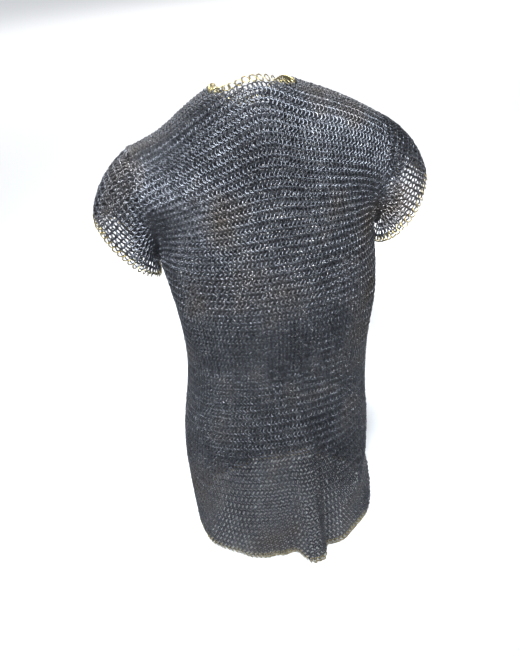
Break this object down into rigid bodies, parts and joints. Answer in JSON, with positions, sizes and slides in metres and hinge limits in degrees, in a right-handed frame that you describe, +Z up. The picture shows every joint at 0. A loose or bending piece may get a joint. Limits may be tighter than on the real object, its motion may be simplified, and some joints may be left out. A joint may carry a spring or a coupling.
{
  "type": "chainmail vest",
  "caption": "Short-sleeved shirt of linked metal rings in its worn shape, with a round neck, cap sleeves and a hip-length hem; it protects the torso and shoulders.",
  "frame": {"origin": "between the wearer's shoulders, just below the sides of the neck edge, where the shoulders hold the shirt up", "axes": "+Z up, the front faces -Y and the back faces +Y, +X towards the wearer's left"},
  "size_m": [0.5182, 0.2993, 0.8258],
  "materials": {
    "blackened_steel": "blackened and lightly oiled rings of flattened wire",
    "brass": "dull, slightly tarnished rings of flattened wire"
  },
  "bodies": {
    "root": {"back": "blackened_steel", "front": "blackened_steel", "sleeve_left": "blackened_steel", "sleeve_right": "blackened_steel", "trim_neck": "brass", "trim_sleeve_left": "brass", "trim_sleeve_right": "brass", "trim_hem": "brass"}
  },
  "joints": []
}
